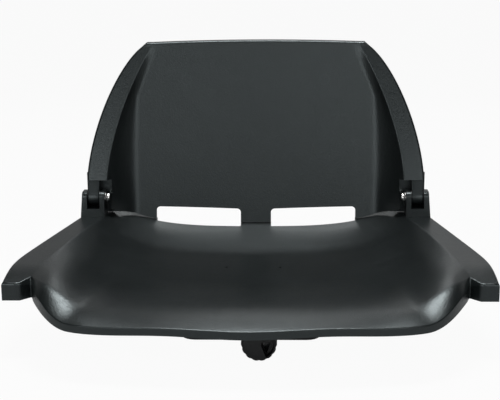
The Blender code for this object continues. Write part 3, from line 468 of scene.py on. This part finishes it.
def rounded(point, reach):
    """The same sheet with the crease at column 1 rounded off, for a reach before and past it."""
    start, end = 1 - reach[0], 1 + reach[1]

    def place(column, row):
        if not start < column < end:
            return point(column, row)
        share = (column - start) / (end - start)
        return bend(point(start, row), point(1, row), point(end, row), share)

    return place


def sheet_columns(count, reach, turn):
    """Columns over the bowl, its crease and the rail or flange, with one at its turn; then those past it."""
    start, end = 1 - reach[0], 1 + reach[1]
    top = [*(i / count for i in range(count)), start, *steps(start, end, CREASE_STEPS),
           *steps(end, 1 + turn, RAIL_STEPS), *steps(1 + turn, 2, RAIL_STEPS)]
    return top, [*steps(2, 3, ROUND_STEPS), *steps(3, 4, SKIRT_STEPS)]


def sheet_rows(count):
    return [*(i / count for i in range(count + 1)), *steps(1, 2, ROUND_STEPS), *steps(2, 3, SKIRT_STEPS)]


def boolean(piece, operation, helpers):
    group = bpy.data.collections.new(f"{piece.name}_{operation.lower()}")
    for mesh in helpers:
        group.objects.link(bpy.data.objects.new(mesh.name, mesh))
    modifier = piece.modifiers.new(group.name, "BOOLEAN")
    modifier.operation = operation
    modifier.operand_type = "COLLECTION"
    modifier.collection = group
    modifier.solver = "EXACT"


def shell(piece, wall, flip):
    """Mirrors a half sheet and gives it its wall, behind the face that shows."""
    if flip:
        piece.data.flip_normals()
    mirror = piece.modifiers.new("other_half", "MIRROR")
    mirror.merge_threshold = MERGE
    mirror.use_clip = True
    solid = piece.modifiers.new("wall", "SOLIDIFY")
    solid.thickness = wall
    solid.offset = -1
    solid.use_even_offset = True


def settle(piece, sharp=SHARP):
    """Applies the modifiers, and shades the mesh smooth up to the sharp angle."""
    graph = bpy.context.evaluated_depsgraph_get()
    mesh = bpy.data.meshes.new_from_object(piece.evaluated_get(graph))
    piece.modifiers.clear()
    piece.data = mesh
    mesh.shade_smooth()
    mesh.set_sharp_from_angle(angle=math.radians(sharp))
    return piece


# Seat pan

def bolt_places():
    half = BOLT_SPACING / 2
    return [Vector((x, y)) for x in (-half, half) for y in (-half, half)]


def rib(offset, across):
    """A rib through two bosses, from the middle of the pan's wall down to the pad."""
    bm = bmesh.new()
    bmesh.ops.create_grid(bm, x_segments=RIB_STEPS, y_segments=1, size=1.0)
    for vert in bm.verts:
        along = vert.co.x * RIB_REACH
        x, y = (along, offset) if across else (offset, along)
        top = pan_height(abs(x), y) - PAN_WALL / 2
        taper = max(0.0, (abs(along) - RIB_FLAT) / (RIB_REACH - RIB_FLAT))
        foot = lerp(PAD_Z, top - RIB_END, taper)
        vert.co = (x, y, top if vert.co.y > 0 else foot)
    normal = Vector((0, 1, 0)) if across else Vector((1, 0, 0))
    bmesh.ops.translate(bm, vec=normal * -RIB_GAUGE / 2, verts=bm.verts)
    grown = bmesh.ops.extrude_face_region(bm, geom=bm.faces[:])
    moved = [item for item in grown["geom"] if isinstance(item, bmesh.types.BMVert)]
    bmesh.ops.translate(bm, vec=normal * RIB_GAUGE, verts=moved)
    return mesh_of("rib", bm)


def hinge_block(side):
    """The block that stands in the rail's end and carries both ears."""
    front, rear = PIN_Y - EAR_DEPTH / 2, PIN_Y + EAR_DEPTH / 2
    top = PIN_Z + EAR_TOP
    foot = PIN_Z - EAR_ROOT
    outline = arc((rear - EAR_ROUND, top - EAR_ROUND), EAR_ROUND, 0, 90, EAR_STEPS)
    outline += arc((front + EAR_ROUND, top - EAR_ROUND), EAR_ROUND, 90, 180, EAR_STEPS)
    points = [(side * x, y, z) for x in (EAR_IN, EAR_OUT) for y, z in outline]
    points += [(side * x, y, foot) for x in (EAR_IN, EAR_OUT + EAR_FLARE) for y in (front, rear)]
    return hull("hinge_block", points, EAR_EDGE)


def hinge_block_cuts(side):
    """The slot between the ears, the barrel's hole through them and the seat for its head."""
    x = sorted((side * (EAR_IN + EAR_GAUGE), side * (EAR_IN + EAR_GAUGE + EAR_GAP)))
    slot = block("ear_slot", (x[0], PIN_Y - EAR_DEPTH, PIN_Z - SLOT_BELOW_PIN),
                 (x[1], PIN_Y + EAR_DEPTH, PIN_Z + PAST))

    def bore(name, radius, inner):
        return rod(name, radius, (side * inner, PIN_Y, PIN_Z), (side * (EAR_OUT + PAST), PIN_Y, PIN_Z))

    return [slot, bore("barrel_hole", BARREL_RADIUS + TOUCH, EAR_IN - PAST),
            bore("barrel_seat", BARREL_HEAD_RADIUS + TOUCH, EAR_OUT - BARREL_HEAD - 2 * TOUCH)]


def seat_pan():
    bowl, edge = sheet_columns(PAN_COLUMNS, PAN_CREASE, TIP_CUT)
    rail = len(bowl) - 1
    mesh = sheet("pan_moulding", bowl + edge, sheet_rows(PAN_ROWS), lambda c, r: c >= rail and r >= PAN_ROWS,
                 rounded(pan_sheet_point, PAN_CREASE))
    pan = placed("pan_moulding", mesh)
    shell(pan, PAN_WALL, flip=True)
    half = BOLT_SPACING / 2
    added = [hinge_block(1), hinge_block(-1)]
    holes = []
    for place in bolt_places():
        top = pan_height(abs(place.x), place.y) - PAN_WALL / 2
        added.append(rod("boss", BOSS_RADIUS, (*place, PAD_Z), (*place, top)))
        holes.append(rod("insert_hole", INSERT_RADIUS + TOUCH, (*place, PAD_Z - PAST),
                         (*place, PAD_Z + INSERT_LENGTH + 2 * TOUCH)))
    for side in (1, -1):
        added += [rib(side * half, across) for across in (False, True)]
        holes += hinge_block_cuts(side)
        x = sorted((side * SLOT_IN, side * SLOT_OUT))
        holes.append(block("ledge_cut", (x[0], LEDGE_Y, FLOOR_Z), (x[1], REAR_Y + PAST, RAIL_Z + PAST)))
        holes.append(rod("drain", DRAIN_RADIUS, (side * DRAIN_X, DRAIN_Y, FLOOR_Z - PAN_WALL - PAST),
                         (side * DRAIN_X, DRAIN_Y, FLOOR_Z + PAST)))
    boolean(pan, "UNION", added)
    boolean(pan, "DIFFERENCE", holes)
    return settle(pan, PAN_SHARP)


# Back

def tongue(side):
    """The lug below each flange that turns between the ears."""
    lean = math.atan2(flange_depth(BACK_TOP_Z) - flange_depth(PIN_Z), BACK_TOP_Z - PIN_Z)
    up = Vector((math.sin(lean), math.cos(lean)))
    inward = Vector((math.cos(lean), -math.sin(lean)))
    foot = Vector((flange_depth(PIN_Z), PIN_Z))
    top = foot + up * TONGUE_LENGTH + inward * (BACK_WALL / 2 + TONGUE_TOP_RADIUS)
    outline = circle((PIN_Y, PIN_Z), TONGUE_RADIUS, ROUND_SIDES)
    outline += circle(top, TONGUE_TOP_RADIUS, TONGUE_TOP_SIDES)
    half = TONGUE_WIDTH / 2
    points = [(side * x, y, z) for x in (TONGUE_X - half, TONGUE_X + half) for y, z in outline]
    return hull("tongue", points, TONGUE_EDGE)


def hinge_web(side):
    """A web from the wing out past the tongue, which leans on the hinge block and stops the back there."""
    front = PIN_Y + EAR_DEPTH / 2 + TOUCH
    outer = EAR_OUT - EAR_GAUGE / 2
    points = []
    for z in (rail_height(front) + STOP_GAP, PIN_Z + WEB_TOP):
        inner = WING_X
        while back_depth(inner, z) > front - BACK_WALL / 4:
            inner += WEB_STEP
        points += [(side * x, y, z) for x in (inner, outer) for y in (front, front + BACK_WALL)]
    return hull("hinge_web", points)


def back_slot(side):
    """A slot in the back's lower edge, with round upper corners."""
    top = back_low(SLOT_IN / CREASE_LOW) + SLOT_HEIGHT
    points = []
    for x, rise, angles in ((SLOT_IN + SLOT_CORNER, -SLOT_FALL, (90, 180)),
                            (SLOT_OUT - SLOT_CORNER, SLOT_RISE, (0, 90))):
        points += arc((x, top + rise - SLOT_CORNER), SLOT_CORNER, *angles, SLOT_STEPS)
    points += [(SLOT_IN, FLOOR_Z), (SLOT_OUT, FLOOR_Z)]
    depth = (PIN_Y, REAR_Y + PAST)
    return hull("back_slot", [(side * x, y, z) for y in depth for x, z in points])


def back_shell():
    face, edge = sheet_columns(BACK_COLUMNS, BACK_CREASE, FLANGE_TURN)
    flange = len(face) - 1
    mesh = sheet("back_moulding", face + edge, sheet_rows(BACK_ROWS),
                 lambda c, r: c >= flange and r >= BACK_ROWS, rounded(back_sheet_point, BACK_CREASE))
    back = placed("back_moulding", mesh)
    shell(back, BACK_WALL, flip=False)
    trims = []
    added = []
    cuts = []
    for side in (1, -1):
        x = sorted((side * (EAR_IN - WING_TRIM), side * (EAR_OUT + PAST)))
        trims.append(block("wing_trim", (x[0], 0, FLOOR_Z), (x[1], REAR_Y + PAST, FLANGE_Z)))
        added += [tongue(side), hinge_web(side)]
        cuts.append(rod("bush_hole", BUSH_RADIUS + TOUCH, (side * EAR_IN, PIN_Y, PIN_Z),
                        (side * (EAR_OUT + PAST), PIN_Y, PIN_Z)))
        cuts.append(back_slot(side))
    boolean(back, "DIFFERENCE", trims)
    boolean(back, "UNION", added)
    boolean(back, "DIFFERENCE", cuts)
    return settle(back)


# Bolts and knob

def hexagon_bolt(name, place, direction, size):
    """A bolt with a chamfered head: place is where the head bears, direction the way the shank points."""
    radius, head, shank_radius, shank = size
    rim = CHAMFER_RIM * radius * math.cos(math.radians(30))
    rings = ((6, radius, 0), (6, radius, -CHAMFER_START * head), (ROUND_SIDES, rim, -head))
    points = []
    for sides, reach, z in rings:
        angles = [2 * math.pi * i / sides for i in range(sides)]
        points += [(reach * math.sin(a), reach * math.cos(a), z) for a in angles]
    made = placed(name, hull(name, points))
    boolean(made, "UNION", [rod("shank", shank_radius, (0, 0, -head / 2), (0, 0, shank))])
    settle(made)
    turn = Vector(direction).to_track_quat("Z", "X").to_matrix().to_4x4()
    made.data.transform(Matrix.Translation(place) @ turn)
    return made


def tension_knob():
    """A fluted knob on the screw, with a hub behind and a finger pocket in its face."""
    r, end, neck, edge = KNOB_RADIUS, KNOB_LENGTH, KNOB_HUB_LENGTH, KNOB_EDGE
    shares = [0, *steps(0, 1, KNOB_EDGE_STEPS)]
    face = (Vector((r / 2, end)), Vector((r, end)), Vector((r, end - 3 * edge)))
    rear = (Vector((r, neck + 2 * edge)), Vector((r, neck)), Vector((r - edge, neck)))
    rows = [(0, end, 0), *((*bend(*face, t), t) for t in shares), *((*bend(*rear, t), 1 - t) for t in shares),
            (KNOB_HUB_RADIUS, neck, 0), (KNOB_HUB_RADIUS, 0, 0), (0, 0, 0)]

    def point(turn, row):
        radius, along, fluted = row
        angle = 2 * math.pi * turn
        radius -= FLUTE_DEPTH * fluted * ((1 - math.cos(KNOB_FLUTES * angle)) / 2) ** 2
        across, up = radius * math.cos(angle), radius * math.sin(angle)
        return Vector((SCREW_X + across, KNOB_Y - along, SCREW_Z + up))

    turns = KNOB_FLUTES * FLUTE_STEPS
    mesh = sheet("knob_grip", [i / turns for i in range(turns + 1)], rows, lambda c, r: False, point)
    mesh.flip_normals()
    knob = placed("knob_grip", mesh)
    outline = [(SCREW_X + POCKET_START, SCREW_Z)]
    outline += arc((SCREW_X, SCREW_Z), POCKET_RADIUS, -POCKET_HALF_ANGLE, POCKET_HALF_ANGLE, POCKET_STEPS)
    depth = (KNOB_Y - KNOB_LENGTH - PAST, KNOB_Y - KNOB_LENGTH + POCKET_DEPTH)
    boolean(knob, "DIFFERENCE", [
        rod("knob_bore", STUD_RADIUS + TOUCH, (SCREW_X, KNOB_Y + PAST, SCREW_Z),
            (SCREW_X, KNOB_Y - KNOB_BORE, SCREW_Z)),
        hull("finger_pocket", [(x, y, z) for y in depth for x, z in outline], POCKET_EDGE)])
    return settle(knob)


# Finishes

class Shade:
    """A value in a finish's node tree: arithmetic on it adds Math nodes."""

    def __init__(self, tree, socket=None):
        self.tree = tree
        self.socket = socket

    def add(self, kind, settings=None, sockets=None, output=0):
        """Adds any node: its settings first, then its sockets' values or links."""
        made = self.tree.nodes.new(kind)
        for name, value in (settings or {}).items():
            setattr(made, name, value)
        for name, value in (sockets or {}).items():
            if isinstance(value, Shade):
                self.tree.links.new(value.socket, made.inputs[name])
            else:
                made.inputs[name].default_value = value
        return Shade(self.tree, made.outputs[output])

    def math(self, operation, *values):
        return self.add("ShaderNodeMath", {"operation": operation}, dict(enumerate(values)))

    def __add__(self, other):
        return self.math("ADD", self, other)

    def __sub__(self, other):
        return self.math("SUBTRACT", self, other)

    def __rsub__(self, other):
        return self.math("SUBTRACT", other, self)

    def __mul__(self, other):
        return self.math("MULTIPLY", self, other)

    def __pow__(self, other):
        return self.math("POWER", self, other)

    __radd__ = __add__
    __rmul__ = __mul__

    def clipped(self, low, high):
        """0 below low, 1 above high, smooth between."""
        return self.add("ShaderNodeMapRange", {"interpolation_type": "SMOOTHSTEP"},
                        {"Value": self, "From Min": low, "From Max": high})

    def noise(self, place, scale, detail=2.0, roughness=0.5):
        return self.add("ShaderNodeTexNoise", {}, {"Vector": place, "Scale": scale, "Detail": detail,
                                                   "Roughness": roughness})

    def tint(self, factor, low, high):
        """A colour between two, by the factor."""
        return self.add("ShaderNodeMix", {"data_type": "RGBA"}, {0: factor, 6: low, 7: high}, 2)

    def bump(self, height, distance):
        return self.add("ShaderNodeBump", {}, {"Height": height, "Distance": distance, "Strength": 1.0})


def finish(name, metallic=0.0, **constants):
    """An empty finish: its node tree as a Shade, and a function that feeds its shader."""
    made = bpy.data.materials.new(name)
    made.use_nodes = True
    tree = made.node_tree
    shader = tree.nodes["Principled BSDF"]
    shader.inputs["Metallic"].default_value = metallic
    for socket, value in constants.items():
        shader.inputs[socket.replace("_", " ")].default_value = value

    def feed(**values):
        for socket, value in values.items():
            tree.links.new(value.socket, shader.inputs[socket.replace("_", " ")])

    return made, Shade(tree), feed


def object_place(shade):
    return shade.add("ShaderNodeTexCoord", output="Object")


def ring_highlight(shade, place, x, z):
    """The faint ring that an ejector pin leaves, at x left and right of the middle and at z: a mask for the
    painted highlight on its rim.
    """
    aside, up = (shade.add("ShaderNodeSeparateXYZ", {}, {"Vector": place}, axis) for axis in "XZ")
    across = aside.math("ABSOLUTE", aside) - x
    up = up - z
    off = (across * across + up * up) ** 0.5 - MARK_RADIUS
    return 1 - off.math("ABSOLUTE", off).clipped(0.0004, 0.0018)


def moulded_plastic(name, marks=()):
    """Satin black plastic with a fine moulded grain, slightly mottled, worn in streaks where one sits, with a
    painted highlight round the back's ejector marks.
    """
    made, shade, feed = finish(name, Specular_Tint=PLASTIC_SHEEN, Specular_IOR_Level=PLASTIC_SHINE)
    place = object_place(shade)
    grain = shade.noise(place, 1100, 2, 0.6)
    pebble = shade.noise(place, 420, 3, 0.6)
    mottle = shade.noise(place, 14, 3, 0.5)
    drawn = shade.add("ShaderNodeMapping", {}, {"Vector": place, "Scale": (9, 150, 9)})
    streaks = shade.noise(drawn, 1, 3, 0.6).clipped(0.5, 0.9)
    # Painted highlight: a lighter ring round each ejector mark stands for light catching its rim
    rings = sum(ring_highlight(shade, place, *mark) for mark in marks)
    colour = shade.tint(mottle, (0.0030, 0.0040, 0.0042, 1), (0.0046, 0.0060, 0.0062, 1))
    # The streaks and pebble tops are real wear, and the rings add painted highlight
    wear_and_ring_highlight = streaks * 0.5 + rings * 0.35 + pebble.clipped(0.5, 0.75) * 0.3
    feed(Base_Color=shade.tint(wear_and_ring_highlight, colour, (0.012, 0.015, 0.0155, 1)),
         Roughness=PLASTIC_ROUGH + (mottle - 0.5) * 0.08 + streaks * 0.05 + (pebble - 0.5) * 0.2,
         Normal=shade.bump(grain + pebble * 2, 0.0001))
    return made


def knob_plastic():
    made, shade, feed = finish("knob_plastic")
    place = object_place(shade)
    grain = shade.noise(place, 1200, 2)
    mottle = shade.noise(place, 60, 3)
    feed(Base_Color=shade.tint(mottle, (0.006, 0.007, 0.008, 1), (0.011, 0.012, 0.013, 1)),
         Roughness=0.36 + mottle * 0.12, Normal=shade.bump(grain, 0.00012))
    return made


def nylon():
    made, shade, feed = finish("nylon")
    place = object_place(shade)
    mottle = shade.noise(place, 120, 3)
    feed(Base_Color=shade.tint(mottle, (0.016, 0.016, 0.017, 1), (0.024, 0.024, 0.025, 1)),
         Roughness=0.42 + mottle * 0.15, Normal=shade.bump(shade.noise(place, 900), 0.0001))
    return made


def turned_steel(name, dark, light, rough):
    """Plated or bright steel: faint tool marks, and spots where the surface has dulled."""
    made, shade, feed = finish(name, metallic=1.0)
    place = object_place(shade)
    dull = shade.noise(place, 260, 4, 0.6)
    marks = shade.noise(place, 2200, 1)
    feed(Base_Color=shade.tint(dull, dark, light), Roughness=rough + dull * 0.18,
         Normal=shade.bump(marks, 0.00004))
    return made


def powder_coat():
    """Black powder coat with an orange-peel skin, thin and grey in spots."""
    made, shade, feed = finish("powder_coat")
    place = object_place(shade)
    peel = shade.noise(place, 420, 2)
    worn = shade.noise(place, 70, 5, 0.7).clipped(0.62, 0.75)
    feed(Base_Color=shade.tint(worn, (0.022, 0.023, 0.025, 1), (0.07, 0.072, 0.075, 1)),
         Roughness=0.45 + peel * 0.15, Normal=shade.bump(peel, 0.0003))
    return made


def brass():
    made, shade, feed = finish("brass", metallic=1.0)
    place = object_place(shade)
    dull = shade.noise(place, 300, 4)
    feed(Base_Color=shade.tint(dull, (0.50, 0.34, 0.12, 1), (0.70, 0.53, 0.24, 1)),
         Roughness=0.28 + dull * 0.2, Normal=shade.bump(shade.noise(place, 1800), 0.00004))
    return made


def seen_share(shade, direct, mirrored):
    """How far a ray shows plain white: direct from the camera or through glass, mirrored by what shines."""
    seen, glossy, through = (shade.add("ShaderNodeLightPath", output=f"Is {kind} Ray")
                             for kind in ("Camera", "Glossy", "Transmission"))
    return (seen + through) * direct + glossy * mirrored


def studio_white(name):
    """The floor: white as seen, and pale under the lamps so that the seat's shadow stays."""
    made = bpy.data.materials.new(name)
    made.use_nodes = True
    tree = made.node_tree
    shade = Shade(tree)
    mottle = shade.noise(object_place(shade), 3, 2)
    lit = shade.add("ShaderNodeBsdfDiffuse", {}, {
        "Color": shade.tint(mottle, (0.44, 0.44, 0.44, 1), (0.48, 0.48, 0.48, 1))})
    glow = shade.add("ShaderNodeEmission", {}, {"Color": (1, 1, 1, 1), "Strength": 1.0})
    mixed = shade.add("ShaderNodeMixShader", {}, {0: seen_share(shade, 0.95, 0.15), 1: lit, 2: glow})
    tree.links.new(mixed.socket, tree.nodes["Material Output"].inputs["Surface"])
    return made


# Studio

def stage_floor(name, size):
    bm = bmesh.new()
    bmesh.ops.create_grid(bm, x_segments=1, y_segments=1, size=size / 2)
    made = placed(name, mesh_of(name, bm))
    made.location.z = -TOUCH
    made.data.materials.append(studio_white(name))


def softbox(name, place, target, size, power):
    lamp = bpy.data.lights.new(name, "AREA")
    lamp.shape = "RECTANGLE"
    lamp.size, lamp.size_y = size
    lamp.energy = power
    made = bpy.data.objects.new(name, lamp)
    made.location = place
    made.rotation_euler = (Vector(target) - Vector(place)).to_track_quat("-Z", "Y").to_euler()
    bpy.context.scene.collection.objects.link(made)


def studio():
    """A white floor, a lamp above, two low beside the camera, and three weak ones behind for the edges."""
    stage_floor("floor", FLOOR_SIZE)
    for name, lamp in LAMPS.items():
        softbox(name, *lamp)
    world = bpy.data.worlds.new("studio")
    bpy.context.scene.world = world
    world.use_nodes = True
    tree = world.node_tree
    shade = Shade(tree)
    dim, white = (shade.add("ShaderNodeBackground", {}, {"Color": (1, 1, 1, 1), "Strength": strength})
                  for strength in (WORLD_DIM, 1.0))
    mixed = shade.add("ShaderNodeMixShader", {}, {0: seen_share(shade, 1.0, WORLD_DIM), 1: dim, 2: white})
    tree.links.new(mixed.socket, tree.nodes["World Output"].inputs["Surface"])


def photo_camera():
    lens = bpy.data.cameras.new("photo")
    lens.sensor_width, lens.lens = SENSOR, LENS
    made = bpy.data.objects.new("photo", lens)
    aside, up, roll = (Matrix.Rotation(math.radians(angle), 4, axis)
                       for angle, axis in zip(CAMERA_TURNS, "ZXZ"))
    made.matrix_world = Matrix.Translation(CAMERA_PLACE) @ aside @ up @ roll
    bpy.context.scene.collection.objects.link(made)
    bpy.context.scene.camera = made


def dress(piece, surface, slot, body, *nodes):
    """Gives a new piece its finish, its body and the nodes that it stands for."""
    piece.data.materials.clear()
    piece.data.materials.append(surface)
    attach(piece, body)
    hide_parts(*nodes)


def refinish(surface, *names):
    for name in names:
        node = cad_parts[name]
        node.data.materials.clear()
        node.data.materials.append(surface)


def main():
    photo_camera()
    studio()
    bpy.context.scene.view_settings.view_transform = "Standard"
    dress(seat_pan(), moulded_plastic("pan_plastic"), "moulded_plastic", "seat", "seat_pan")
    dress(back_shell(), moulded_plastic("back_plastic", BACK_MARK_HIGHLIGHTS), "moulded_plastic", "backrest",
          "back_shell")
    dress(tension_knob(), knob_plastic(), "knob_plastic", "knob", "tension_knob")
    stainless = turned_steel("stainless", (0.60, 0.60, 0.59, 1), (0.74, 0.74, 0.73, 1), 0.16)
    zinc = turned_steel("zinc_steel", (0.44, 0.45, 0.47, 1), (0.60, 0.61, 0.62, 1), 0.30)
    sides = ("left", "right")
    numbers = range(1, 5)
    for side, way in zip(sides, (-1, 1)):
        place = (way * (EAR_IN - HINGE_WASHER - 2 * TOUCH), PIN_Y, PIN_Z)
        made = hexagon_bolt(f"hinge_screw_{side}", place, (way, 0, 0), HINGE_BOLT)
        dress(made, stainless, "stainless", "seat", f"hinge_bolt_{side}")
    for number, place in zip(numbers, bolt_places()):
        made = hexagon_bolt(f"mount_screw_{number}", (*place, MOUNT_HEAD_Z), (0, 0, 1), MOUNT_BOLT)
        dress(made, zinc, "zinc_steel", "seat", f"mount_bolt_{number}")
    refinish(stainless, *(f"hinge_{piece}_{side}" for piece in ("washer", "barrel") for side in sides))
    refinish(zinc, *(f"mount_washer_{n}" for n in numbers), "pivot_clip", "lug_nut", "tension_stud")
    refinish(nylon(), "thrust_ring", "pivot_washer", "brake_shoe",
             *(f"tongue_bush_{side}_{place}" for side in sides for place in ("outer", "inner")))
    refinish(powder_coat(), "swivel_base", "swivel_plate")
    refinish(brass(), *(f"seat_insert_{n}" for n in numbers))


main()
